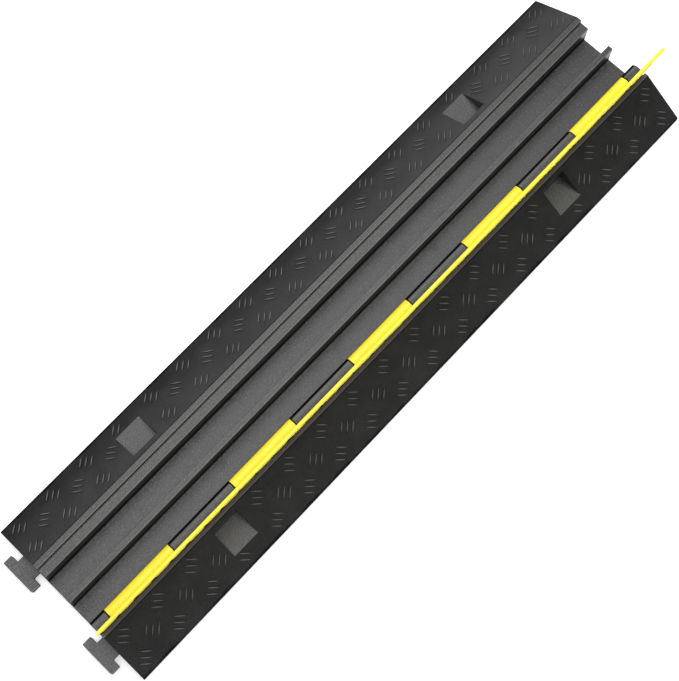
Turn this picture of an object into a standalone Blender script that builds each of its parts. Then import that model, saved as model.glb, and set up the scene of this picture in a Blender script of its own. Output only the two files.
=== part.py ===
"""Floor cord cover: a moulded rubber ramp with two cable channels and a hinged lid.

Metres, +Z up. X runs along the cable, from the tongue end to the socket end.
+Y is the side where the free edge of the closed lid lies, -Y is the hinge side.
The origin is the bottom centre of the part's box. The lid is modelled closed,
about its own hinge axis, and then turned to the open rest position.
"""

import math

import bmesh
import bpy
from mathutils import Matrix, Vector

COLLECTION_NAME = "floor_cord_cover"

# Ramp body
BODY_LENGTH = 1.000
BODY_WIDTH = 0.252
CREST_HEIGHT = 0.048
TOE_HEIGHT = 0.007
CREST_EDGE_LEFT = 0.060
CREST_EDGE_RIGHT = -0.062
LAND_STEP_LEFT = 0.0525
LAND_STEP_RIGHT = -0.0571
LEDGE_HEIGHT = 0.042
EDGE_RADIUS = 0.0006
TOE_RADIUS = 0.0020
EDGE_STEPS = 3
END_RADIUS = 0.0005
END_STEPS = 2
# How far the near end leans back for each metre that it rises
NEAR_END_LEAN = 0.045

# Cable channels, with the walls drafted by DRAFT on each side
CHANNEL_FLOOR = 0.010
CHANNEL_1_LEFT = 0.0394
DIVIDER_LEFT = 0.0042
DIVIDER_RIGHT = -0.0034
CHANNEL_2_RIGHT = -0.0367
DRAFT = 0.0008

# Hinge
AXIS_Y = -0.0457
AXIS_Z = 0.039
BARREL_RADIUS = 0.009
BARREL_STEPS = 20
ROD_RADIUS = 0.0025
ROD_BORE_RADIUS = 0.0028
ROD_END_INSET = 0.004
KNUCKLE_COUNT = 5
KNUCKLE_PITCH = 0.211
KNUCKLE_LENGTH = 0.106
KNUCKLE_END_GAP = 0.0005
NOTCH_RADIUS = 0.0096

# Lid, in the closed position
LID_OPEN_DEG = 97.9
LID_UNDER = 0.0033
LID_THICKNESS = 0.0047
LID_REACH = 0.0969
LID_HINGE_EDGE = 0.0095
LID_NEAR_INSET = 0.004
LID_FAR_INSET = 0.0005
LID_EDGE_RADIUS = 0.0012
KNUCKLE_EDGE_RADIUS = 0.0006

# Pockets in the slopes, with a level floor that runs out at the toe side
POCKET_LENGTH = 0.040
POCKET_FROM_END = 0.198
POCKET_TOE_SIDE = 0.1035
POCKET_CREST_SIDE = 0.0678

# Tongues at one end and the sockets that take them at the other
TONGUE_OFFSET = 0.0693
TONGUE_HEIGHT = 0.015
NECK_LENGTH = 0.0092
NECK_HALF_WIDTH = 0.0137
HEAD_LENGTH = 0.0130
HEAD_HALF_WIDTH = 0.0248
TONGUE_CORNER_RADIUS = 0.0012
SOCKET_CLEARANCE = 0.001

# How far cutters and joined shapes run past the faces they meet
OVERRUN = 0.005
ROOT = 0.004

TONGUE_REACH = NECK_LENGTH + HEAD_LENGTH
NEAR_END = (TONGUE_REACH - BODY_LENGTH) / 2
FAR_END = NEAR_END + BODY_LENGTH
MIDDLE = (NEAR_END + FAR_END) / 2
HALF_WIDTH = BODY_WIDTH / 2
END_KNUCKLE = (BODY_LENGTH - (KNUCKLE_COUNT - 1) * KNUCKLE_PITCH - KNUCKLE_LENGTH) / 2

# Faces that meet at less than this are one flat face, and at less than the next are shaded as one
FLAT_ANGLE = math.radians(0.5)
SMOOTH_ANGLE = math.radians(35)

# Points nearer than this are one, and a face turned this much along its axis is an end
WELD_DISTANCE = 1e-6
END_FACING = 0.99

# Sides of the rod and its bores
ROD_SIDES = 16

# Turns a flat outline drawn in (y, z) and extruded along its normal to lie along X
ALONG_X = Matrix(((0, 0, 1, 0), (1, 0, 0, 0), (0, 1, 0, 0), (0, 0, 0, 1)))


def clear_scene():
    """Remove whatever the opened file holds."""
    for old in list(bpy.data.objects):
        bpy.data.objects.remove(old, do_unlink=True)


def make_collection(name):
    collection = bpy.data.collections.new(name)
    bpy.context.scene.collection.children.link(collection)
    return collection


def make_material(name, colour, roughness, metallic=0.0):
    material = bpy.data.materials.new(name)
    material.use_nodes = True
    shader = material.node_tree.nodes["Principled BSDF"]
    shader.inputs["Base Color"].default_value = (*colour, 1.0)
    shader.inputs["Roughness"].default_value = roughness
    shader.inputs["Metallic"].default_value = metallic
    material.diffuse_color = (*colour, 1.0)
    return material


def arc(centre, radius, start_deg, end_deg, steps):
    """Points on an arc, both ends included."""
    points = []
    for i in range(steps + 1):
        angle = math.radians(start_deg + (end_deg - start_deg) * i / steps)
        points.append((centre[0] + radius * math.cos(angle), centre[1] + radius * math.sin(angle)))
    return points


def rounded(before, corner, after, radius):
    """Points of a fillet at the corner between two straight edges."""
    corner = Vector(corner)
    to_before = (Vector(before) - corner).normalized()
    to_after = (Vector(after) - corner).normalized()
    half = to_before.angle(to_after) / 2
    start = corner + to_before * radius / math.tan(half)
    end = corner + to_after * radius / math.tan(half)
    centre = corner + (to_before + to_after).normalized() * radius / math.sin(half)
    points = []
    for i in range(EDGE_STEPS + 1):
        blend = (start - centre).lerp(end - centre, i / EDGE_STEPS).normalized() * radius
        points.append(tuple(centre + blend))
    return points


def round_corners(outline, radii):
    """An outline with a fillet at each corner whose radius is not zero."""
    points = []
    count = len(outline)
    for i, corner in enumerate(outline):
        if radii[i] == 0:
            points.append(corner)
        else:
            before = outline[i - 1]
            after = outline[(i + 1) % count]
            points.extend(rounded(before, corner, after, radii[i]))
    return points


def round_ends(solid, half_length, radius):
    """Round the rims of both flat ends: each step insets the end and sinks its rim."""
    ends = [face for face in solid.faces if abs(face.normal.z) > END_FACING]
    for end in ends:
        out = math.copysign(1.0, end.normal.z)
        for vertex in end.verts:
            vertex.co.z = out * (half_length - radius)
        for i in range(END_STEPS):
            start = math.pi / 2 * i / END_STEPS
            stop = math.pi / 2 * (i + 1) / END_STEPS
            inward = radius * (math.cos(start) - math.cos(stop))
            outward = radius * (math.sin(stop) - math.sin(start))
            bmesh.ops.inset_region(solid, faces=[end], thickness=inward, use_even_offset=True)
            for vertex in end.verts:
                vertex.co.z += out * outward


def extruded(name, outline, length, placing, end_radius=0.0):
    """A closed mesh from a flat outline, as long as length and centred on its plane."""
    curve = bpy.data.curves.new(name, "CURVE")
    curve.dimensions = "2D"
    curve.fill_mode = "BOTH"
    curve.extrude = length / 2
    spline = curve.splines.new("POLY")
    spline.points.add(len(outline) - 1)
    for point, place in zip(spline.points, outline):
        point.co = (place[0], place[1], 0.0, 1.0)
    spline.use_cyclic_u = True
    drawn = bpy.data.objects.new(name + "_outline", curve)
    bpy.context.scene.collection.objects.link(drawn)
    bpy.context.view_layer.update()
    evaluated = drawn.evaluated_get(bpy.context.evaluated_depsgraph_get())
    mesh = bpy.data.meshes.new_from_object(evaluated)
    bpy.data.objects.remove(drawn, do_unlink=True)
    bpy.data.curves.remove(curve)
    welded = bmesh.new()
    welded.from_mesh(mesh)
    bmesh.ops.remove_doubles(welded, verts=welded.verts, dist=WELD_DISTANCE)
    bmesh.ops.dissolve_limit(welded, angle_limit=FLAT_ANGLE, verts=welded.verts, edges=welded.edges)
    bmesh.ops.recalc_face_normals(welded, faces=welded.faces)
    if end_radius > 0:
        round_ends(welded, length / 2, end_radius)
    welded.to_mesh(mesh)
    welded.free()
    mesh.name = name
    mesh.transform(placing)
    return mesh


def round_bar(name, radius, length):
    """A closed cylinder along X, centred on its own origin."""
    bar = bmesh.new()
    bmesh.ops.create_cone(bar, cap_ends=True, segments=ROD_SIDES, radius1=radius, radius2=radius,
                          depth=length, matrix=ALONG_X)
    mesh = bpy.data.meshes.new(name)
    bar.to_mesh(mesh)
    bar.free()
    return mesh


def place(name, mesh, location, collection, material=None):
    thing = bpy.data.objects.new(name, mesh)
    thing.location = location
    collection.objects.link(thing)
    if material is not None:
        mesh.materials.clear()
        mesh.materials.append(material)
    return thing


def place_cutter(name, mesh, location, tools):
    cutter = place(name, mesh, location, tools)
    cutter.hide_render = True
    cutter.display_type = "WIRE"
    return cutter


def block(name, low, high, tools):
    """A box-shaped cutter between two corners."""
    box = bmesh.new()
    bmesh.ops.create_cube(box, size=1.0)
    size = Vector(high) - Vector(low)
    bmesh.ops.scale(box, vec=size, verts=box.verts)
    mesh = bpy.data.meshes.new(name)
    box.to_mesh(mesh)
    box.free()
    return place_cutter(name, mesh, (Vector(low) + Vector(high)) / 2, tools)


def combine(target, cutter, operation):
    boolean = target.modifiers.new(operation.lower() + "_" + cutter.name, "BOOLEAN")
    boolean.operation = operation
    boolean.solver = "EXACT"
    boolean.object = cutter


def knuckle_starts():
    """Where each lid knuckle begins along X."""
    return [NEAR_END + END_KNUCKLE + i * KNUCKLE_PITCH for i in range(KNUCKLE_COUNT)]


def slope_height(y):
    """Height of the left slope at a distance y from the middle."""
    return TOE_HEIGHT + (CREST_HEIGHT - TOE_HEIGHT) * (HALF_WIDTH - y) / (HALF_WIDTH - CREST_EDGE_LEFT)


def body_outline():
    """The body's section in (y, z) through one of its own hinge knuckles, before the
    underside is cut level."""
    crest = [
        (HALF_WIDTH, -OVERRUN),
        (HALF_WIDTH, TOE_HEIGHT),
        (CREST_EDGE_LEFT, CREST_HEIGHT),
        (LAND_STEP_LEFT, CREST_HEIGHT),
        (LAND_STEP_LEFT, LEDGE_HEIGHT),
        (CHANNEL_1_LEFT, LEDGE_HEIGHT),
        (CHANNEL_1_LEFT - DRAFT, CHANNEL_FLOOR),
        (DIVIDER_LEFT + DRAFT, CHANNEL_FLOOR),
        (DIVIDER_LEFT, LEDGE_HEIGHT),
        (DIVIDER_RIGHT, LEDGE_HEIGHT),
        (DIVIDER_RIGHT - DRAFT, CHANNEL_FLOOR),
        (CHANNEL_2_RIGHT + DRAFT, CHANNEL_FLOOR),
    ]
    crest_radii = [0, TOE_RADIUS, EDGE_RADIUS, EDGE_RADIUS, 0, EDGE_RADIUS, 0, 0, EDGE_RADIUS, EDGE_RADIUS, 0, 0]
    barrel = arc((AXIS_Y, AXIS_Z), BARREL_RADIUS, 0, 180, BARREL_STEPS)
    land = [
        (LAND_STEP_RIGHT, AXIS_Z),
        (LAND_STEP_RIGHT, CREST_HEIGHT),
        (CREST_EDGE_RIGHT, CREST_HEIGHT),
        (-HALF_WIDTH, TOE_HEIGHT),
        (-HALF_WIDTH, -OVERRUN),
    ]
    land_radii = [0, EDGE_RADIUS, EDGE_RADIUS, TOE_RADIUS, 0]
    radii = crest_radii + [0] * len(barrel) + land_radii
    return round_corners(crest + barrel + land, radii)


def tee_outline(clearance):
    """A tongue seen from above, pointing towards -X, with its neck rooted in the body."""
    neck = NECK_HALF_WIDTH + clearance
    head = HEAD_HALF_WIDTH + clearance
    inner = -NECK_LENGTH + clearance
    outer = -TONGUE_REACH - clearance
    outline = [(ROOT, neck), (inner, neck), (inner, head), (outer, head),
               (outer, -head), (inner, -head), (inner, -neck), (ROOT, -neck)]
    radii = [0] + [TONGUE_CORNER_RADIUS] * (len(outline) - 2) + [0]
    return round_corners(outline, radii)


def add_tongues(body, tools):
    height = TONGUE_HEIGHT + 2 * OVERRUN
    for side, y in (("left", TONGUE_OFFSET), ("right", -TONGUE_OFFSET)):
        mesh = extruded("tongue_" + side, tee_outline(0.0), height, Matrix(), END_RADIUS)
        tongue = place_cutter("tongue_" + side, mesh, (NEAR_END, y, TONGUE_HEIGHT - height / 2), tools)
        combine(body, tongue, "UNION")


def cut_underside(body, tools):
    """Cut the body and the tongues level at the floor."""
    low = (NEAR_END - TONGUE_REACH - OVERRUN, -HALF_WIDTH - OVERRUN, -3 * OVERRUN)
    high = (FAR_END + OVERRUN, HALF_WIDTH + OVERRUN, 0.0)
    combine(body, block("underside", low, high, tools), "DIFFERENCE")


def cut_sockets(body, tools):
    """Recesses under the far end that take the tongues of the next length."""
    height = TONGUE_HEIGHT + SOCKET_CLEARANCE + OVERRUN
    top = TONGUE_HEIGHT + SOCKET_CLEARANCE
    for side, y in (("left", TONGUE_OFFSET), ("right", -TONGUE_OFFSET)):
        mesh = extruded("socket_" + side, tee_outline(SOCKET_CLEARANCE), height, Matrix())
        socket = place_cutter("socket_" + side, mesh, (FAR_END, y, top - height / 2), tools)
        combine(body, socket, "DIFFERENCE")


def cut_pockets(body, tools):
    """Four square pockets in the slopes, each with a level floor."""
    floor = slope_height(POCKET_TOE_SIDE)
    half = POCKET_LENGTH / 2
    for end, x in (("near", NEAR_END + POCKET_FROM_END), ("far", FAR_END - POCKET_FROM_END)):
        for side, sign in (("left", 1), ("right", -1)):
            across = sorted((sign * POCKET_CREST_SIDE, sign * (POCKET_TOE_SIDE + OVERRUN)))
            low = (x - half, across[0], floor)
            high = (x + half, across[1], CREST_HEIGHT + OVERRUN)
            combine(body, block("pocket_" + end + "_" + side, low, high, tools), "DIFFERENCE")


def cut_knuckle_notches(body, tools):
    """Room for the lid's knuckles between the body's own."""
    for number, start in enumerate(knuckle_starts(), 1):
        low_x = start - KNUCKLE_END_GAP
        high_x = start + KNUCKLE_LENGTH + KNUCKLE_END_GAP
        sweep = arc((AXIS_Y, AXIS_Z), NOTCH_RADIUS, 180, 360, BARREL_STEPS)
        top = CREST_HEIGHT + OVERRUN
        outline = [(LAND_STEP_RIGHT, AXIS_Z)] + sweep + [(sweep[-1][0], top), (LAND_STEP_RIGHT, top)]
        mesh = extruded("notch_%d" % number, outline, high_x - low_x, ALONG_X)
        notch = place_cutter("notch_%d" % number, mesh, ((low_x + high_x) / 2, 0, 0), tools)
        combine(body, notch, "DIFFERENCE")


def lean_near_end(mesh):
    """Set the near end back as it rises."""
    for vertex in mesh.vertices:
        if vertex.co.x < 0:
            vertex.co.x += NEAR_END_LEAN * vertex.co.z


def make_body(parts, tools, rubber):
    mesh = extruded("ramp_body", body_outline(), BODY_LENGTH, ALONG_X, END_RADIUS)
    lean_near_end(mesh)
    body = place("ramp_body", mesh, (MIDDLE, 0, 0), parts, rubber)
    add_tongues(body, tools)
    cut_underside(body, tools)
    cut_sockets(body, tools)
    cut_pockets(body, tools)
    cut_knuckle_notches(body, tools)
    bore_mesh = round_bar("body_bore", ROD_BORE_RADIUS, BODY_LENGTH + 2 * OVERRUN)
    bore = place_cutter("body_bore", bore_mesh, (MIDDLE, AXIS_Y, AXIS_Z), tools)
    combine(body, bore, "DIFFERENCE")
    return body


def lid_plate_outline():
    """The plate's section, measured from the hinge axis, with the lid closed."""
    top = LID_UNDER + LID_THICKNESS
    under = [(LID_HINGE_EDGE, LID_UNDER), (LID_REACH, LID_UNDER)]
    outline = under + [(LID_REACH, top), (LID_HINGE_EDGE, top)]
    return round_corners(outline, [LID_EDGE_RADIUS] * 4)


def lid_knuckle_outline():
    """The barrel's section with the strip that joins it to the plate."""
    joined = LID_HINGE_EDGE + ROOT
    meeting = math.degrees(math.asin(LID_UNDER / BARREL_RADIUS))
    barrel = arc((0.0, 0.0), BARREL_RADIUS, 90, 360 + meeting, 2 * BARREL_STEPS)
    return barrel + [(joined, LID_UNDER), (joined, LID_UNDER + LID_THICKNESS)]


def make_lid(parts, tools, yellow):
    """The lid on its hinge axis, turned back to its open rest."""
    low_x = NEAR_END + LID_NEAR_INSET
    high_x = FAR_END - LID_FAR_INSET
    length = high_x - low_x
    hinge = ((low_x + high_x) / 2, AXIS_Y, AXIS_Z)
    turn = math.radians(LID_OPEN_DEG)
    plate = extruded("lid", lid_plate_outline(), length, ALONG_X, END_RADIUS)
    lid = place("lid", plate, hinge, parts, yellow)
    lid.rotation_euler.x = turn
    for number, start in enumerate(knuckle_starts(), 1):
        name = "lid_knuckle_%d" % number
        mesh = extruded(name, lid_knuckle_outline(), KNUCKLE_LENGTH, ALONG_X, KNUCKLE_EDGE_RADIUS)
        centre = (start + KNUCKLE_LENGTH / 2, AXIS_Y, AXIS_Z)
        knuckle = place_cutter(name, mesh, centre, tools)
        knuckle.rotation_euler.x = turn
        combine(lid, knuckle, "UNION")
    bore_mesh = round_bar("lid_bore", ROD_BORE_RADIUS, length + 2 * OVERRUN)
    bore = place_cutter("lid_bore", bore_mesh, hinge, tools)
    combine(lid, bore, "DIFFERENCE")
    return lid


def make_rod(parts, steel):
    mesh = round_bar("hinge_rod", ROD_RADIUS, BODY_LENGTH - 2 * ROD_END_INSET)
    return place("hinge_rod", mesh, (MIDDLE, AXIS_Y, AXIS_Z), parts, steel)


def shade_round(thing):
    thing.data.shade_smooth()
    thing.data.set_sharp_from_angle(angle=SMOOTH_ANGLE)


def main():
    clear_scene()
    parts = make_collection(COLLECTION_NAME)
    tools = make_collection("cutters")
    rubber = make_material("black_rubber", (0.035, 0.035, 0.037), 0.65)
    yellow = make_material("yellow_moulding", (0.95, 0.82, 0.03), 0.45)
    steel = make_material("rod_steel", (0.55, 0.55, 0.56), 0.35, 1.0)
    for thing in (make_body(parts, tools, rubber), make_lid(parts, tools, yellow), make_rod(parts, steel)):
        shade_round(thing)


main()
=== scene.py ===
"""Looks of a floor cord cover: raised treads, rubber, yellow plastic and steel finishes, and a
pale studio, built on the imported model.

Metres, +Z up. X runs along the cable channels, +Y is the side away from the hinge.
"""

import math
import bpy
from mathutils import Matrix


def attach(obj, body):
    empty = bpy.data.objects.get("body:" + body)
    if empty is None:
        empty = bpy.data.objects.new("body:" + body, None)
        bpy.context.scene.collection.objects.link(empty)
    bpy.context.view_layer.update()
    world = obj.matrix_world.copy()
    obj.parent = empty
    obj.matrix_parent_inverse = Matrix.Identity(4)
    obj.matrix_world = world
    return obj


bl_info = {
    "name": "Floor Cord Cover",
    "version": (1, 0, 0),
    "blender": (4, 5, 0),
    "location": "3D View > Sidebar > Cord Cover",
    "description": "Treads, finishes and studio of a two-channel floor cord cover",
    "category": "Object",
}

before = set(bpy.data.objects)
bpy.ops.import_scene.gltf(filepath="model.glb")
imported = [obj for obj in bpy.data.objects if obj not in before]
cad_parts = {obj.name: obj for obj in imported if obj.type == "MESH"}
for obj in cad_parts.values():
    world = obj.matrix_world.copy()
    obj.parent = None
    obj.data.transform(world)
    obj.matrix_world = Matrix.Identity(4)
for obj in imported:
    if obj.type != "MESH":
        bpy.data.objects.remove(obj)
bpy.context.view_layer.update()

import bpy
import numpy as np
from bpy.props import FloatProperty, FloatVectorProperty, IntProperty, PointerProperty

# The body's section: where each slope meets the toe and the crest, as (y, z)
LEFT_SLOPE = ((0.126, 0.007), (0.060, 0.048))
RIGHT_SLOPE = ((-0.126, 0.007), (-0.062, 0.048))
NEAR_END = -0.4889
FAR_END = 0.5111

# Pockets in the slopes
POCKET_FROM_END = 0.198
POCKET_MIDDLES = (NEAR_END + POCKET_FROM_END, FAR_END - POCKET_FROM_END)
POCKET_HALF = 0.020
POCKET_TOE_SIDE = 0.1035
POCKET_CREST_SIDE = 0.0678

# The lid about its hinge, open
HINGE_Y = -0.0457
HINGE_Z = 0.039
LID_OPEN_DEG = 97.9
LID_OUTER_FACE = 0.008

# The hinge barrels, and where the lid's knuckles lie, measured from the near end
BARREL_RADIUS = 0.009
FIRST_KNUCKLE = 0.078
KNUCKLE_PITCH = 0.211
KNUCKLE_HALF = 0.053

# Facets of one raised bar
BAR_RINGS = 5
BAR_SIDES = 8
BAR_ROOT = 0.0004

# In the finishes below, a pair is a smooth step: where it begins and where it ends.

# Which part of the rubber a point belongs to: by its normal's height, and by its place
LEVEL_FACE = (0.90, 0.97)
BODY_FROM_TONGUES = (NEAR_END - 0.003, NEAR_END + 0.001)
LEFT_SLOPE_FROM_CREST = (0.058, 0.062)
RIGHT_SLOPE_FROM_CREST = (0.062, 0.064)
LAND_FROM_LID = (0.0545, 0.0578)
LAND_HEIGHT = (0.0465, 0.0475)
BARREL_SIDE = (0.0001, 0.0003)
BARREL_FOOT = (HINGE_Z, HINGE_Z + 0.0004)
FAR_HALF = (0.0, 0.5)

# The rubber's tone, 0 in its dark colour and 1 in its pale one: how each thing changes it
EVEN_TONE = 0.45
CLOUD_TONE = 0.5
SPECK_TONE = 1.0
LEVEL_SPECK_TONE = 8.0
# Painted shade and light: the left slope darker at its toe and paler up towards the crest and the far end
SLOPE_TONE_PER_METRE = 15
SLOPE_EVEN_HEIGHT = 0.0328
SLOPE_FAR_TONE = 0.30
SLOPE_TOE_TONE = 0.30
SLOPE_TOE = (0.008, 0.024)
# Painted light and shade: the right slope lifted, and darker towards the far end
RIGHT_SLOPE_TONE = 0.12
RIGHT_SLOPE_FADE = 0.25
TONGUE_TONE = 0.35
# Painted shade: level faces darker, more so towards the far end and on the channel floors
LEVEL_TONE = 0.08
LEVEL_FADE = 0.3
LEVEL_FADE_ALONG = (-0.4, 0.5)
FLOOR_FADE = 0.22
FLOOR_FADE_ALONG = (-0.5, 0.2)
ABOVE_FLOOR = (0.011, 0.020)
# Painted shade: the walls inside the channels darker
WALL_TONE = 0.3
OUTSIDE_WALLS = (0.0400, 0.0405)
# Painted highlight: the grey knuckles paler away from their axis line, so their round tops look flat and
# lit
KNUCKLE_TOP_HIGHLIGHT = 1.9
KNUCKLE_TOP = (0.0005, 0.0030)

# Painted light on the land beside the lid: paler and bluer where the lid shades it and
# reflects yellow onto it, and less towards the far end
LAND_PAINTED_LIGHT = 0.78
LAND_PAINTED_LIGHT_FADE = 0.12

# Upper edges with a painted highlight along them, as (y, z), and how wide and deep the highlight line is
HIGHLIT_EDGES = (
    (0.0532, 0.048),
    (0.0401, 0.042),
    (0.0038, 0.042),
    (-0.0027, 0.042),
    (-0.0616, 0.048),
)
EDGE_HIGHLIGHT_WIDTH = (0.0003, 0.0010)
EDGE_HIGHLIGHT_DEPTH = (-0.0008, -0.0004)
EDGE_HIGHLIGHT = 0.5

# The raised bars: the attribute "rise" is 0 off the bars, 1 up to their roots and 2 on top
# Painted highlight: bar tops painted pale, less on the far half of the left slope
BAR_TOP = (1.45, 1.85)
BAR_TOP_HIGHLIGHT = 0.7
BAR_SPECK_HIGHLIGHT = 0.6
BAR_FAR_LOSS = 0.5
# Painted shade at the roots of the bars, between these steps of rise
ON_BAR = (0.8, 0.9)
OFF_ROOT = (1.15, 1.40)

# Painted shadow along the foot of the body, with a ragged upper edge
FOOT_PAINTED_SHADOW = 0.9
FOOT_SHADOW_TOP = (0.0074, 0.0098)
FOOT_CLOUD = 0.004
FOOT_SPECK = 0.002
RIGHT_TOE = (0.10, 0.11)
RIGHT_TOE_LIFT = 0.0006

# Painted shade: fine dark lines just outside the crest, as y
CREST_SHADE_LINES = (0.0610, -0.0632)
CREASE_LINE = (0.0004, 0.0011)
CREASE_HEIGHT = (0.0445, 0.0450)
CREST_SHADE_STRENGTH = 0.4

# Inner corners painted with shade, as (y, height of the corner, height where the painted shade
# ends), and the painted highlight strip on the floor beside each
SHADED_CORNERS = ((0.0390, 0.010, 0.034), (-0.0038, 0.010, 0.034), (0.0525, 0.042, 0.046))
CORNER_LINE = (0.0006, 0.0009)
CORNER_FOOT = (0.0002, 0.0004)
# Painted highlight: a pale strip on the floor beside each shaded corner
HIGHLIGHT_STRIP_OFFSET = 0.0026
HIGHLIGHT_STRIP_WIDTH = (0.0002, 0.0020)
HIGHLIGHT_STRIP_TOP = (0.0, 0.0004)
HIGHLIGHT_STRIP_BOTTOM = (-0.0008, -0.0004)

# Painted shade between the knuckles' ends and on their channel side, and the rubbed lid knuckles
KNUCKLE_GAP = (0.0012, 0.0020)
CHANNEL_SIDE = (0.0048, 0.0055)
# Painted shade along the lid knuckles' channel side
LID_KNUCKLE_SHADE = (0.0070, 0.0080)
LID_KNUCKLE_RUBBED = (0.0, 0.005)
LID_KNUCKLE_WEAR = 0.8

# Matt painted shade, laid over the finishes where shade is painted
PAINTED_SHADE_ROUGHNESS = 0.9
PAINTED_SHADE_GLOSS = 0.04

# How far clouds, specks and rubs change the roughness, and how strong the rubber's grain is
CLOUD_ROUGHNESS = 0.10
SPECK_ROUGHNESS = 0.14
RUB_ROUGHNESS = 0.16
PLASTIC_SPECK_ROUGHNESS = 0.08
GRAIN_RELIEF = 0.4

# Drawn steel, and the floor with its slightly dimmer patches
STEEL_DARK = (0.42, 0.42, 0.43)
STEEL_PALE = (0.60, 0.60, 0.61)
STEEL_ROUGHNESS = 0.35
FLOOR_ROUGHNESS = 0.8
FLOOR_DIM = 0.985

# The camera: fitted place and turn, focal length and image centre in pixels of the image
IMAGE_SIZE = (679, 681)
CAMERA_PLACE = (-0.39591, -0.29847, 1.86398)
CAMERA_TURN_DEG = (17.4291, 0.0692, -46.2684)
FOCAL_PIXELS = 1498.98
IMAGE_CENTRE = (300.45, 255.06)
SENSOR_MM = 36.0
CLIP_START = 0.01


class Socket:
    """One output in a material; arithmetic on it adds Math nodes."""

    def __init__(self, finish, output):
        self.finish = finish
        self.output = output

    def __add__(self, other):
        return self.finish.maths("ADD", self, other)

    def __sub__(self, other):
        return self.finish.maths("SUBTRACT", self, other)

    def __rsub__(self, other):
        return self.finish.maths("SUBTRACT", other, self)

    def __mul__(self, other):
        return self.finish.maths("MULTIPLY", self, other)

    def __abs__(self):
        return self.finish.maths("ABSOLUTE", self)

    __radd__ = __add__
    __rmul__ = __mul__

    def largest(self, other):
        return self.finish.maths("MAXIMUM", self, other)

    def back_and_forth(self, length):
        """The distance from the nearest even multiple of length."""
        return self.finish.maths("PINGPONG", self, length)

    def rising(self, low, high):
        """0 below low and 1 above high, with a smooth step between them."""
        settings = {"interpolation_type": "SMOOTHSTEP"}
        return self.finish.node("ShaderNodeMapRange", settings, {0: self, 1: low, 2: high})

    def swing(self, width):
        """Noise from 0 to 1 as a change about 0 that is width wide in all."""
        return (self - 0.5) * width


class Finish:
    """A material that is being made: one Principled shader and the nodes that feed it."""

    def __init__(self, name, roughness, metallic=0.0, **fixed):
        self.material = bpy.data.materials.new(name)
        self.material.use_nodes = True
        self.tree = self.material.node_tree
        self.shader = self.tree.nodes["Principled BSDF"]
        self.shader.inputs["Roughness"].default_value = roughness
        self.shader.inputs["Metallic"].default_value = metallic
        for socket, value in fixed.items():
            self.shader.inputs[socket.replace("_", " ")].default_value = value
        self.place = self.node("ShaderNodeTexCoord", output="Object")

    def node(self, kind, settings=None, sockets=None, output=0):
        """Add a node: its settings are set first, then each socket gets a value or a link."""
        made = self.tree.nodes.new(kind)
        for name, value in (settings or {}).items():
            setattr(made, name, value)
        for name, value in (sockets or {}).items():
            if isinstance(value, Socket):
                self.tree.links.new(value.output, made.inputs[name])
            else:
                made.inputs[name].default_value = value
        return Socket(self, made.outputs[output])

    def maths(self, operation, *values):
        return self.node("ShaderNodeMath", {"operation": operation}, dict(enumerate(values)))

    def noise(self, size, detail=2.0, place=None):
        """Noise whose patches are about size metres across, from 0 to 1."""
        sockets = {"Vector": place or self.place, "Scale": 1.0 / size, "Detail": detail}
        return self.node("ShaderNodeTexNoise", None, sockets)

    def stretched(self, along, across, height):
        """Object coordinates divided by a size on each axis, for patterns that run one way."""
        scale = (1.0 / along, 1.0 / across, 1.0 / height)
        return self.node("ShaderNodeMapping", None, {"Vector": self.place, "Scale": scale})

    def axis(self, name):
        return self.node("ShaderNodeSeparateXYZ", None, {"Vector": self.place}, name)

    def facing_up(self):
        """How far the surface faces up, from -1 to 1, in the object's own axes."""
        normal = self.node("ShaderNodeTexCoord", output="Normal")
        return self.node("ShaderNodeSeparateXYZ", None, {"Vector": normal}, "Z")

    def mixed(self, factor, low, high):
        """A colour from low to high by factor, and on past high when it is over 1.

        Inputs 6 and 7 and output 2 are the node's colour sockets.
        """
        settings = {"data_type": "RGBA", "clamp_factor": False}
        return self.node("ShaderNodeMix", settings, {0: factor, 6: low, 7: high}, 2)

    def feed(self, socket, value):
        self.tree.links.new(value.output, self.shader.inputs[socket])

    def bump(self, height, strength, distance):
        sockets = {"Height": height, "Strength": strength, "Distance": distance}
        self.feed("Normal", self.node("ShaderNodeBump", None, sockets))

    def painted_shade_over(self, factor, colour):
        """Cover the finish with matt painted shade by factor."""
        sockets = {
            "Base Color": colour,
            "Roughness": PAINTED_SHADE_ROUGHNESS,
            "Specular IOR Level": PAINTED_SHADE_GLOSS,
        }
        painted_shade = self.node("ShaderNodeBsdfPrincipled", None, sockets)
        clean = Socket(self, self.shader.outputs[0])
        mix = self.node("ShaderNodeMixShader", None, {0: factor, 1: clean, 2: painted_shade})
        surface = self.tree.nodes["Material Output"].inputs["Surface"]
        self.tree.links.new(mix.output, surface)


def solid_colour(values):
    return (*values, 1.0)


def make_mesh(name, points, faces, rise=None):
    """An object from arrays, smooth shaded. On bars, rise is kept as an attribute of each point."""
    mesh = bpy.data.meshes.new(name)
    mesh.from_pydata(points.tolist(), [], faces)
    mesh.polygons.foreach_set("use_smooth", np.ones(len(faces), dtype=bool))
    if rise is not None:
        layer = mesh.attributes.new("rise", "FLOAT", "POINT")
        layer.data.foreach_set("value", rise.astype(np.float32))
    mesh.update()
    piece = bpy.data.objects.new(name, mesh)
    bpy.context.scene.collection.objects.link(piece)
    return piece


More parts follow.
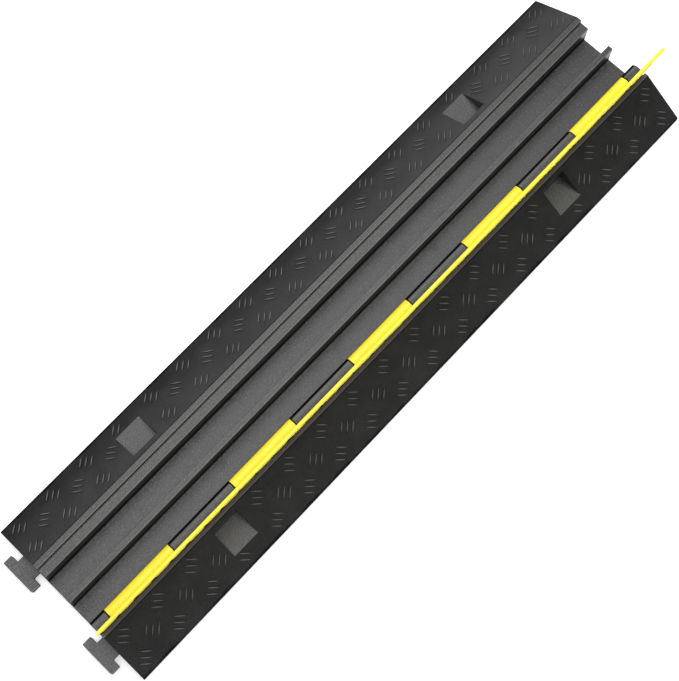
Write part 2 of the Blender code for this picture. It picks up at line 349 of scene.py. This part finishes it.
def bar_form():
    """One raised bar of half length, half width and height 1.

    A point at angles a along the bar and t around it lies at sin(a) along, and, with the
    girth g = cos(a), at g cos(t) across and g sin(t) up. The poles close both ends.
    """
    a = np.radians(np.linspace(-90, 90, BAR_RINGS + 2))[1:-1]
    t = np.arange(BAR_SIDES) * 2 * math.pi / BAR_SIDES
    girth = np.cos(a)
    along = np.sin(a)
    rings = np.stack(
        [
            np.repeat(along[:, None], BAR_SIDES, 1),
            girth[:, None] * np.cos(t),
            girth[:, None] * np.sin(t),
        ],
        axis=-1,
    ).reshape(-1, 3)
    return np.vstack([rings, [(-1, 0, 0), (1, 0, 0)]])


def bar_faces():
    """Quads between neighbouring rings of one bar, and triangles to its two poles."""
    here = np.arange(BAR_SIDES)
    beyond = (here + 1) % BAR_SIDES
    last = (BAR_RINGS - 1) * BAR_SIDES
    near_pole = BAR_RINGS * BAR_SIDES
    faces = []
    for ring in range(0, last, BAR_SIDES):
        quads = np.stack([here, beyond, beyond + BAR_SIDES, here + BAR_SIDES], axis=-1)
        faces.extend((quads + ring).tolist())
    pole = np.full_like(here, near_pole)
    faces.extend(np.stack([beyond, here, pole], axis=-1).tolist())
    faces.extend(np.stack([here + last, beyond + last, pole + 1], axis=-1).tolist())
    return faces


def make_bars(name, middles, along, across, up, size):
    """Raised bars on a flat face, as one mesh.

    Each point is the bar's middle plus its form's three values times half the bar's length
    along it, half its width across it and its height up from the face. Below the face the
    height is BAR_ROOT.
    """
    length, width, height = size
    form = bar_form()
    above = np.where(form[:, 2] > 0, height, BAR_ROOT)
    points = (
        middles[:, None, :]
        + form[None, :, :1] * along[:, None, :] * length / 2
        + form[None, :, 1:2] * across[:, None, :] * width / 2
        + (form[:, 2] * above)[None, :, None] * up[:, None, :]
    ).reshape(-1, 3)
    single = bar_faces()
    faces = []
    for start in range(0, len(points), len(form)):
        faces.extend([corner + start for corner in face] for face in single)
    rise = np.tile(1 + np.clip(form[:, 2], 0, 1), len(middles))
    return make_mesh(name, points, faces, rise)


def bar_groups(rows, pitch, gap, turn):
    """Where bars lie on a face: distance along X, reach across the face, and direction's sign.

    rows are (first, count, reach, sign). A group has three bars, gap apart. They lie at the
    angle turn from X, towards plus or minus the reach, and are spread at right angles to that.
    """
    cosine = math.cos(math.radians(turn))
    sine = math.sin(math.radians(turn))
    along, reaches, signs = [], [], []
    for first, count, reach, sign in rows:
        middles = first + pitch * np.arange(count)
        for step in (-1, 0, 1):
            along.append(middles + step * gap * sine)
            reaches.append(np.full(count, reach - sign * step * gap * cosine))
            signs.append(np.full(count, sign))
    return np.concatenate(along), np.concatenate(reaches), np.concatenate(signs)


def group_count(sizes):
    """How many groups of bars a row of the full length has."""
    room = FAR_END - NEAR_END - 2 * sizes.first_group
    return 1 + int(room / sizes.group_pitch + 0.5)


def bars_on_face(name, groups, face, sizes, height):
    """Bars on a flat face.

    groups are what bar_groups gives, and face is (origin, outward, up). A bar's middle is the
    origin plus its distance along X plus its reach times the unit vector outward. Its direction
    lies at the angle bar_turn from X, towards plus or minus outward.
    """
    along, reach, signs = groups
    origin, outward, up = face
    turn = math.radians(sizes.bar_turn)
    lengthwise = np.array([1.0, 0.0, 0.0])
    middles = origin + along[:, None] * lengthwise + reach[:, None] * outward
    directions = math.cos(turn) * lengthwise + signs[:, None] * outward * math.sin(turn)
    ups = np.repeat(up[None, :], len(along), 0)
    size = (sizes.bar_length, sizes.bar_width, height)
    return make_bars(name, middles, directions, np.cross(ups, directions), ups, size)


class TreadSizes(bpy.types.PropertyGroup):
    bar_length: FloatProperty(
        name="Bar Length", description="Length of one raised bar", default=0.0185, subtype="DISTANCE"
    )
    bar_width: FloatProperty(
        name="Bar Width", description="Width of one raised bar", default=0.0020, subtype="DISTANCE"
    )
    bar_height: FloatProperty(
        name="Bar Height", description="How far a bar stands above the slope", default=0.0011,
        subtype="DISTANCE",
    )
    bar_gap: FloatProperty(
        name="Bar Gap", description="Distance between the middles of two bars of a group", default=0.0079,
        subtype="DISTANCE",
    )
    bar_turn: FloatProperty(
        name="Bar Turn", description="Angle of the bars to the length of the ramp in degrees", default=45.0
    )
    group_pitch: FloatProperty(
        name="Group Pitch", description="Distance between groups of a row", default=0.05643,
        subtype="DISTANCE",
    )
    first_group: FloatProperty(
        name="First Group", description="Distance of the first group from the near end", default=0.02035,
        subtype="DISTANCE",
    )
    rows: FloatVectorProperty(
        name="Rows", description="Distance of each row from the toe, measured up the slope", size=3,
        default=(0.0185, 0.0380, 0.0595), subtype="XYZ", unit="LENGTH",
    )
    pocket_margin: FloatProperty(
        name="Pocket Margin", description="Bars nearer to a pocket than this are left out", default=0.0004,
        subtype="DISTANCE",
    )


class LidTreadSizes(bpy.types.PropertyGroup):
    bar_height: FloatProperty(
        name="Bar Height", description="How far a bar stands above the lid", default=0.0011,
        subtype="DISTANCE",
    )
    first_row: FloatProperty(
        name="First Row", description="Distance of the first row from the hinge", default=0.0225,
        subtype="DISTANCE",
    )
    row_pitch: FloatProperty(
        name="Row Pitch", description="Distance between rows", default=0.0207, subtype="DISTANCE"
    )
    row_count: IntProperty(name="Row Count", description="Rows of bars across the lid", default=4, min=1)


class RubberLook(bpy.types.PropertyGroup):
    dark: FloatVectorProperty(
        name="Dark", description="Colour of the rubber in its darker patches",
        default=(0.004, 0.004, 0.0042), subtype="COLOR", min=0.0, max=1.0,
    )
    pale: FloatVectorProperty(
        name="Pale", description="Colour of the rubber in its paler patches",
        default=(0.038, 0.038, 0.0385), subtype="COLOR", min=0.0, max=1.0,
    )
    # Painted shade: the colour of the shade painted in the corners, creases, bar roots and along the foot
    painted_shade: FloatVectorProperty(
        name="Painted Shade", description="Colour of the grime in the corners and along the foot",
        default=(0.002, 0.002, 0.002), subtype="COLOR", min=0.0, max=1.0,
    )
    # Painted light: the paler, bluer colour painted on the land that the lid shades
    painted_light: FloatVectorProperty(
        name="Painted Light", description="Colour of the dusty land beside the lid", default=(0.063, 0.054, 0.082),
        subtype="COLOR", min=0.0, max=1.0,
    )
    # Painted highlight: the paler colour painted on the bar tops and upper edges
    painted_highlight: FloatVectorProperty(
        name="Painted Highlight", description="Colour of rubbed edges and bar tops", default=(0.110, 0.108, 0.106),
        subtype="COLOR", min=0.0, max=1.0,
    )
    roughness: FloatProperty(
        name="Roughness", description="Average roughness of the rubber", default=0.36, min=0.0, max=1.0,
        subtype="FACTOR",
    )
    grain_size: FloatProperty(
        name="Grain Size", description="Size of the moulded grain", default=0.0011, subtype="DISTANCE"
    )


class LidLook(bpy.types.PropertyGroup):
    colour: FloatVectorProperty(
        name="Colour", description="Colour of the yellow plastic", default=(0.92, 0.80, 0.034),
        subtype="COLOR", min=0.0, max=1.0,
    )
    deep: FloatVectorProperty(
        name="Deep", description="Colour of the plastic in its deeper patches", default=(0.84, 0.71, 0.022),
        subtype="COLOR", min=0.0, max=1.0,
    )
    rubbed: FloatVectorProperty(
        name="Rubbed", description="Colour of the rubbed knuckles", default=(0.92, 0.735, 0.030),
        subtype="COLOR", min=0.0, max=1.0,
    )
    # Painted shade: the colour of the shade painted low on the knuckles' channel side
    painted_shade: FloatVectorProperty(
        name="Painted Shade", description="Colour of the grime low on the knuckles", default=(0.16, 0.14, 0.02),
        subtype="COLOR", min=0.0, max=1.0,
    )
    roughness: FloatProperty(
        name="Roughness", description="Average roughness of the plastic", default=0.42, min=0.0, max=1.0,
        subtype="FACTOR",
    )


class StageLook(bpy.types.PropertyGroup):
    floor_colour: FloatVectorProperty(
        name="Floor", description="Colour of the floor", default=(0.90, 0.90, 0.90), subtype="COLOR",
        min=0.0, max=1.0,
    )
    floor_size: FloatProperty(
        name="Floor Size", description="Side of the square floor", default=12.0, subtype="DISTANCE"
    )
    floor_glow: FloatProperty(
        name="Floor Glow", description="Light that the floor gives off, to soften shadows on it",
        default=0.45, min=0.0,
    )
    light_power: FloatProperty(
        name="Light Power", description="Power of the overhead light", default=117.0, subtype="POWER"
    )
    light_size: FloatVectorProperty(
        name="Light Size", description="Size of the overhead light along and across the ramp", size=2,
        default=(3.2, 3.2), subtype="XYZ_LENGTH", unit="LENGTH",
    )
    light_place: FloatVectorProperty(
        name="Light Place", description="Middle of the overhead light", default=(0.35, 0.35, 2.7),
        subtype="XYZ", unit="LENGTH",
    )
    side_power: FloatProperty(
        name="Side Power", description="Power of the dimmer light beside it", default=54.0, subtype="POWER"
    )
    side_size: FloatVectorProperty(
        name="Side Size", description="Size of the side light along and across the ramp", size=2,
        default=(3.2, 2.6), subtype="XYZ_LENGTH", unit="LENGTH",
    )
    side_place: FloatVectorProperty(
        name="Side Place", description="Middle of the side light", default=(1.3, 3.25, 2.7), subtype="XYZ",
        unit="LENGTH",
    )
    fill: FloatProperty(
        name="Fill", description="Strength of the light from all round", default=0.08, min=0.0
    )


class CORDCOVER_OT_slope_treads(bpy.types.Operator):
    """Raise the tread bars on both slopes of the ramp"""

    bl_idname = "cord_cover.slope_treads"
    bl_label = "Slope Treads"

    def execute(self, context):
        sizes = context.scene.cord_cover_treads
        look = context.scene.cord_cover_rubber
        for side, slope in (("left", LEFT_SLOPE), ("right", RIGHT_SLOPE)):
            piece = slope_treads("slope_treads_" + side, slope, sizes)
            piece.data.materials.append(rubber_finish(look))
            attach(piece, "base")
        return {"FINISHED"}


class CORDCOVER_OT_lid_treads(bpy.types.Operator):
    """Raise the tread bars on the outer face of the lid"""

    bl_idname = "cord_cover.lid_treads"
    bl_label = "Lid Treads"

    def execute(self, context):
        scene = context.scene
        piece = lid_treads("lid_treads", scene.cord_cover_treads, scene.cord_cover_lid_treads)
        piece.data.materials.append(plastic_finish(scene.cord_cover_plastic))
        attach(piece, "lid")
        return {"FINISHED"}


class CORDCOVER_OT_ramp_finish(bpy.types.Operator):
    """Give the ramp its moulded rubber"""

    bl_idname = "cord_cover.ramp_finish"
    bl_label = "Ramp Finish"

    def execute(self, context):
        dress("ramp_body", rubber_finish(context.scene.cord_cover_rubber))
        return {"FINISHED"}


class CORDCOVER_OT_lid_finish(bpy.types.Operator):
    """Give the lid its yellow plastic"""

    bl_idname = "cord_cover.lid_finish"
    bl_label = "Lid Finish"

    def execute(self, context):
        dress("lid", plastic_finish(context.scene.cord_cover_plastic))
        return {"FINISHED"}


class CORDCOVER_OT_rod_finish(bpy.types.Operator):
    """Give the hinge rod its drawn steel"""

    bl_idname = "cord_cover.rod_finish"
    bl_label = "Rod Finish"

    def execute(self, context):
        dress("hinge_rod", steel_finish())
        return {"FINISHED"}


class CORDCOVER_OT_stage(bpy.types.Operator):
    """Set the pale floor, the soft light and the camera"""

    bl_idname = "cord_cover.stage"
    bl_label = "Stage"

    def execute(self, context):
        look = context.scene.cord_cover_stage
        set_floor(look)
        set_light(look)
        set_camera()
        return {"FINISHED"}


class CORDCOVER_PT_parts(bpy.types.Panel):
    bl_label = "Floor Cord Cover"
    bl_idname = "CORDCOVER_PT_parts"
    bl_space_type = "VIEW_3D"
    bl_region_type = "UI"
    bl_category = "Cord Cover"

    def draw(self, context):
        for settings, operators in SECTIONS:
            box = self.layout.box()
            for name in operators:
                box.operator(name)
            group = getattr(context.scene, settings)
            for prop in GROUPS[settings].__annotations__:
                box.prop(group, prop)


GROUPS = {
    "cord_cover_treads": TreadSizes,
    "cord_cover_lid_treads": LidTreadSizes,
    "cord_cover_rubber": RubberLook,
    "cord_cover_plastic": LidLook,
    "cord_cover_stage": StageLook,
}

SECTIONS = (
    ("cord_cover_treads", ("cord_cover.slope_treads",)),
    ("cord_cover_lid_treads", ("cord_cover.lid_treads",)),
    ("cord_cover_rubber", ("cord_cover.ramp_finish",)),
    ("cord_cover_plastic", ("cord_cover.lid_finish", "cord_cover.rod_finish")),
    ("cord_cover_stage", ("cord_cover.stage",)),
)

CLASSES = (
    *GROUPS.values(),
    CORDCOVER_OT_slope_treads,
    CORDCOVER_OT_lid_treads,
    CORDCOVER_OT_ramp_finish,
    CORDCOVER_OT_lid_finish,
    CORDCOVER_OT_rod_finish,
    CORDCOVER_OT_stage,
    CORDCOVER_PT_parts,
)


def dress(node, material):
    """Put a finish on every material slot of a CAD node."""
    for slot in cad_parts[node].material_slots:
        slot.material = material


def in_pocket(along, reach, slope_length, margin, half_reach):
    """Which bars come nearer to a pocket than margin. Distances are from the near end and
    from the toe, up the slope."""
    (toe_y, _), (crest_y, _) = LEFT_SLOPE
    low = (toe_y - POCKET_TOE_SIDE) / (toe_y - crest_y) * slope_length
    high = (toe_y - POCKET_CREST_SIDE) / (toe_y - crest_y) * slope_length
    inside = np.zeros(len(along), dtype=bool)
    for middle in POCKET_MIDDLES:
        beside = np.abs(along + NEAR_END - middle) < POCKET_HALF + margin + half_reach
        level = (reach > low - margin - half_reach) & (reach < high + margin + half_reach)
        inside |= beside & level
    return inside


def slope_treads(name, slope, sizes):
    """Bars in three rows on one slope. A bar's middle lies at its distance along X and at its
    distance from the toe up the straight line to the crest."""
    (toe_y, toe_z), (crest_y, crest_z) = slope
    length = math.hypot(crest_y - toe_y, crest_z - toe_z)
    uphill = np.array([0.0, (crest_y - toe_y) / length, (crest_z - toe_z) / length])
    up = np.cross(uphill, [1.0, 0.0, 0.0])
    up *= math.copysign(1.0, up[2])
    pitch = sizes.group_pitch
    count = group_count(sizes)
    toe_row, middle_row, crest_row = sizes.rows
    rows = (
        (sizes.first_group, count, toe_row, -1),
        (sizes.first_group + pitch / 2, count - 1, middle_row, 1),
        (sizes.first_group, count, crest_row, -1),
    )
    along, reach, signs = bar_groups(rows, pitch, sizes.bar_gap, sizes.bar_turn)
    half_reach = sizes.bar_length / 2 * math.cos(math.radians(sizes.bar_turn))
    keep = ~in_pocket(along, reach, length, sizes.pocket_margin, half_reach)
    groups = (along[keep], reach[keep], signs[keep])
    origin = np.array([NEAR_END, toe_y, toe_z])
    return bars_on_face(name, groups, (origin, uphill, up), sizes, sizes.bar_height)


def lid_treads(name, sizes, lid_sizes):
    """Bars in rows on the lid's outer face. A bar's middle lies at its distance from the hinge
    along the open lid, on the outer face."""
    turn = math.radians(LID_OPEN_DEG)
    outward = np.array([0.0, math.cos(turn), math.sin(turn)])
    up = np.array([0.0, -math.sin(turn), math.cos(turn)])
    pitch = sizes.group_pitch
    count = group_count(sizes)
    rows = []
    for row in range(lid_sizes.row_count):
        shift = row % 2
        reach = lid_sizes.first_row + row * lid_sizes.row_pitch
        rows.append((sizes.first_group + shift * pitch / 2, count - shift, reach, 1 - 2 * shift))
    groups = bar_groups(rows, pitch, sizes.bar_gap, sizes.bar_turn)
    origin = np.array([NEAR_END, HINGE_Y, HINGE_Z]) + LID_OUTER_FACE * up
    return bars_on_face(name, groups, (origin, outward, up), sizes, lid_sizes.bar_height)


class RubberPlace:
    """What the rubber's looks are worked out from: where a point lies, how far it belongs to
    each part of the body, from 0 to 1, and the patterns that vary it."""

    def __init__(self, finish):
        self.x, self.y, self.z = (finish.axis(axis) for axis in "XYZ")
        self.rightward = 0 - self.y
        self.past_hinge = self.y - HINGE_Y
        self.far = self.x.rising(*FAR_HALF)
        self.level = finish.facing_up().rising(*LEVEL_FACE)
        self.cloud = finish.noise(size=0.030, detail=4.0)
        self.speck = finish.noise(size=0.0016, detail=3.0)
        self.rise = finish.node("ShaderNodeAttribute", {"attribute_name": "rise"}, None, "Fac")
        body = self.x.rising(*BODY_FROM_TONGUES)
        self.tongues = 1 - body
        self.left_slope = self.y.rising(*LEFT_SLOPE_FROM_CREST) * body
        self.right_slope = self.rightward.rising(*RIGHT_SLOPE_FROM_CREST)
        land = self.rightward.rising(*LAND_FROM_LID) * self.z.rising(*LAND_HEIGHT)
        self.right_land = (land - self.right_slope).largest(0)
        beside = (abs(self.past_hinge) - BARREL_RADIUS).rising(*BARREL_SIDE)
        self.barrel = (1 - beside) * self.z.rising(*BARREL_FOOT)

    def line(self, y, step):
        """1 on the line at y along the ramp, falling to 0 beside it."""
        return 1 - abs(self.y - y).rising(*step)


def rubber_tone(at):
    """How pale the rubber is before its painted highlights and painted shade: an even tone varied by
    clouds and specks, and what each part of the body adds to it or takes from it, which paints
    shade and light on the slopes, level faces, walls and knuckles."""
    specks = at.speck.swing(SPECK_TONE + at.level * LEVEL_SPECK_TONE)
    tone = EVEN_TONE + at.cloud.swing(CLOUD_TONE) + specks
    # Painted shade and light on the left slope: darker at the toe, paler uphill and towards the far end
    toe = 1 - at.z.rising(*SLOPE_TOE)
    uphill = (at.z - SLOPE_EVEN_HEIGHT) * SLOPE_TONE_PER_METRE
    farther = (1 - toe) * at.far * SLOPE_FAR_TONE
    tone = tone + at.left_slope * (uphill + farther - toe * SLOPE_TOE_TONE)
    # Painted light and shade on the right slope, darker towards the far end
    tone = tone + at.right_slope * (RIGHT_SLOPE_TONE - at.x * RIGHT_SLOPE_FADE)
    tone = tone + at.tongues * TONGUE_TONE
    # Painted shade on level faces and channel floors, deeper towards the far end
    on_floor = (1 - at.z.rising(*ABOVE_FLOOR)) * at.x.rising(*FLOOR_FADE_ALONG)
    faded = LEVEL_TONE + at.x.rising(*LEVEL_FADE_ALONG) * LEVEL_FADE + on_floor * FLOOR_FADE
    # Painted shade on the walls inside the channels
    walls = (1 - at.level) * (1 - abs(at.y).rising(*OUTSIDE_WALLS))
    tone = tone - at.level * faded - walls * WALL_TONE
    # Painted highlight on the grey knuckles, away from their axis line
    tone = tone + at.barrel * abs(at.past_hinge).rising(*KNUCKLE_TOP) * KNUCKLE_TOP_HIGHLIGHT
    # Painted highlight: a pale strip on the floor beside each shaded corner
    for wall, foot, _ in SHADED_CORNERS:
        above = at.z - foot
        strip = (1 - above.rising(*HIGHLIGHT_STRIP_TOP)) * above.rising(*HIGHLIGHT_STRIP_BOTTOM)
        tone = tone + at.line(wall - HIGHLIGHT_STRIP_OFFSET, HIGHLIGHT_STRIP_WIDTH) * strip
    return tone.largest(0)


def rubber_painted_highlights(at):
    """How far the rubber is painted with highlights: on top of the bars and along the upper edges."""
    # Painted highlight on the bar tops
    tops = at.rise.rising(*BAR_TOP) * (BAR_TOP_HIGHLIGHT + at.speck * BAR_SPECK_HIGHLIGHT)
    highlights = tops * (1 - at.left_slope * at.far * BAR_FAR_LOSS)
    # Painted highlight along the upper edges
    for edge, height in HIGHLIT_EDGES:
        upper = (at.z - height).rising(*EDGE_HIGHLIGHT_DEPTH)
        highlights = highlights.largest(at.line(edge, EDGE_HIGHLIGHT_WIDTH) * upper * EDGE_HIGHLIGHT)
    return highlights


def rubber_painted_shade(at):
    """How far painted shade covers the rubber: a painted shadow along the foot, and painted shade
    beside the crest, in the inner corners, round the knuckles and at the roots of the bars."""
    # Painted shadow along the foot, where the body meets the floor
    ragged = at.z + at.cloud.swing(FOOT_CLOUD) + at.speck.swing(FOOT_SPECK)
    ragged = ragged + at.rightward.rising(*RIGHT_TOE) * RIGHT_TOE_LIFT
    painted_shade = (1 - ragged.rising(*FOOT_SHADOW_TOP)) * FOOT_PAINTED_SHADOW
    # Painted shade: dark lines just outside the crest
    for crease in CREST_SHADE_LINES:
        line = at.line(crease, CREASE_LINE) * at.z.rising(*CREASE_HEIGHT)
        painted_shade = painted_shade.largest(line * CREST_SHADE_STRENGTH)
    # Painted shade in the inner corners, darkest at the foot of each wall
    for wall, foot, high in SHADED_CORNERS:
        line = at.line(wall, CORNER_LINE) * (at.z - foot).rising(*CORNER_FOOT)
        painted_shade = painted_shade.largest(line * (1 - at.z.rising(foot, high)))
    # Painted shade in the gaps between the knuckles and on their channel side
    from_middle = (at.x - (NEAR_END + FIRST_KNUCKLE)).back_and_forth(KNUCKLE_PITCH / 2)
    ends = 1 - (from_middle - KNUCKLE_HALF).rising(*KNUCKLE_GAP)
    channel_side = at.past_hinge.rising(*CHANNEL_SIDE)
    painted_shade = painted_shade.largest(at.barrel * ends.largest(channel_side))
    # Painted shade at the roots of the bars
    roots = at.rise.rising(*ON_BAR) * (1 - at.rise.rising(*OFF_ROOT))
    return painted_shade.largest(roots)


def rubber_finish(look):
    """Black moulded rubber: cloudy patches, a pebbled grain, painted highlights on the bar tops and
    edges, painted light on the land beside the lid, and painted shade."""
    name = "moulded_rubber"
    if name in bpy.data.materials:
        return bpy.data.materials[name]
    finish = Finish(name, look.roughness)
    at = RubberPlace(finish)
    base = finish.mixed(rubber_tone(at), solid_colour(look.dark), solid_colour(look.pale))
    # Painted light on the land beside the lid
    land_light = at.right_land * (LAND_PAINTED_LIGHT - at.x * LAND_PAINTED_LIGHT_FADE)
    base = finish.mixed(land_light, base, solid_colour(look.painted_light))
    finish.feed("Base Color", finish.mixed(rubber_painted_highlights(at), base, solid_colour(look.painted_highlight)))
    uneven = at.cloud.swing(CLOUD_ROUGHNESS) + at.speck.swing(SPECK_ROUGHNESS)
    finish.feed("Roughness", look.roughness + uneven)
    grain = finish.noise(look.grain_size, detail=2.0)
    finish.bump(grain * GRAIN_RELIEF + at.speck, strength=0.5, distance=0.0003)
    # Painted shade over the foot, creases, corners, knuckles and bar roots
    finish.painted_shade_over(rubber_painted_shade(at), solid_colour(look.painted_shade))
    return finish.material


def plastic_finish(look):
    """Yellow moulded plastic: slight colour clouds, a fine texture, rubbed knuckles, and painted
    shade low on their channel side."""
    name = "yellow_plastic"
    if name in bpy.data.materials:
        return bpy.data.materials[name]
    finish = Finish(name, look.roughness)
    cloud = finish.noise(size=0.050, detail=3.0)
    speck = finish.noise(size=0.0025, detail=3.0)
    rubs = finish.noise(size=0.02, detail=4.0, place=finish.stretched(6.0, 1.0, 1.0))
    grain = finish.noise(size=0.0009, detail=2.0)
    past_hinge = finish.axis("Y") - HINGE_Y
    tone = (cloud * 0.6 + speck * 0.4).rising(low=0.3, high=0.7)
    base = finish.mixed(tone, solid_colour(look.deep), solid_colour(look.colour))
    rubbed = past_hinge.rising(*LID_KNUCKLE_RUBBED) * LID_KNUCKLE_WEAR
    finish.feed("Base Color", finish.mixed(rubbed, base, solid_colour(look.rubbed)))
    uneven = rubs.swing(RUB_ROUGHNESS) + speck.swing(PLASTIC_SPECK_ROUGHNESS)
    finish.feed("Roughness", look.roughness + uneven)
    finish.bump(grain + speck, strength=0.18, distance=0.00012)
    # Painted shade along the lid knuckles' channel side
    finish.painted_shade_over(past_hinge.rising(*LID_KNUCKLE_SHADE), solid_colour(look.painted_shade))
    return finish.material


def steel_finish():
    """Drawn steel: grey with fine lines along the rod."""
    name = "drawn_steel"
    if name in bpy.data.materials:
        return bpy.data.materials[name]
    finish = Finish(name, STEEL_ROUGHNESS, metallic=1.0)
    drawn = finish.stretched(along=0.020, across=0.0004, height=0.0004)
    lines = finish.noise(size=1.0, detail=3.0, place=drawn)
    cloud = finish.noise(size=0.012, detail=3.0)
    colour = finish.mixed(lines, solid_colour(STEEL_DARK), solid_colour(STEEL_PALE))
    finish.feed("Base Color", colour)
    finish.feed("Roughness", STEEL_ROUGHNESS + cloud.swing(width=0.22))
    finish.bump(lines, strength=0.15, distance=0.00005)
    return finish.material


def set_floor(look):
    """A square floor just under the ramp."""
    half = look.floor_size / 2
    corners = half * np.array([(-1.0, -1.0, 0.0), (1.0, -1.0, 0.0), (1.0, 1.0, 0.0), (-1.0, 1.0, 0.0)])
    floor = make_mesh("floor", corners, [[0, 1, 2, 3]])
    glow = {"Emission_Color": (1.0, 1.0, 1.0, 1.0), "Emission_Strength": look.floor_glow}
    finish = Finish("pale_floor", FLOOR_ROUGHNESS, **glow)
    cloud = finish.noise(size=0.6, detail=2.0)
    dim = tuple(FLOOR_DIM * value for value in look.floor_colour)
    finish.feed("Base Color", finish.mixed(cloud, solid_colour(dim), solid_colour(look.floor_colour)))
    finish.feed("Roughness", FLOOR_ROUGHNESS + cloud.swing(width=0.1))
    floor.data.materials.append(finish.material)


def soft_light(name, power, size, place):
    """A rectangular light that faces down."""
    lamp = bpy.data.lights.new(name, "AREA")
    lamp.shape = "RECTANGLE"
    lamp.size, lamp.size_y = size
    lamp.energy = power
    light = bpy.data.objects.new(name, lamp)
    light.location = place
    bpy.context.scene.collection.objects.link(light)


def set_light(look):
    """A large soft light overhead, a dimmer one beside it and an even fill from all round."""
    soft_light("overhead", look.light_power, look.light_size, look.light_place)
    soft_light("side", look.side_power, look.side_size, look.side_place)
    world = bpy.data.worlds.new("studio")
    world.use_nodes = True
    background = world.node_tree.nodes["Background"]
    background.inputs["Color"].default_value = (1.0, 1.0, 1.0, 1.0)
    background.inputs["Strength"].default_value = look.fill
    bpy.context.scene.world = world
    bpy.context.scene.view_settings.view_transform = "Standard"


def set_camera():
    """A camera at the fitted place, its shift worked out from the image centre."""
    width, height = IMAGE_SIZE
    longer = max(width, height)
    lens = bpy.data.cameras.new("camera")
    lens.sensor_width = SENSOR_MM
    lens.lens = FOCAL_PIXELS * SENSOR_MM / longer
    lens.shift_x = (width / 2 - IMAGE_CENTRE[0]) / longer
    lens.shift_y = (IMAGE_CENTRE[1] - height / 2) / longer
    lens.clip_start = CLIP_START
    camera = bpy.data.objects.new("camera", lens)
    camera.location = CAMERA_PLACE
    camera.rotation_euler = [math.radians(angle) for angle in CAMERA_TURN_DEG]
    bpy.context.scene.collection.objects.link(camera)
    bpy.context.scene.camera = camera


def register():
    for kind in CLASSES:
        bpy.utils.register_class(kind)
    for name, group in GROUPS.items():
        setattr(bpy.types.Scene, name, PointerProperty(type=group))


def unregister():
    for name in GROUPS:
        delattr(bpy.types.Scene, name)
    for kind in reversed(CLASSES):
        bpy.utils.unregister_class(kind)


def main():
    register()
    bpy.ops.cord_cover.stage()
    bpy.ops.cord_cover.ramp_finish()
    bpy.ops.cord_cover.slope_treads()
    bpy.ops.cord_cover.lid_finish()
    bpy.ops.cord_cover.lid_treads()
    bpy.ops.cord_cover.rod_finish()


if __name__ == "__main__":
    main()
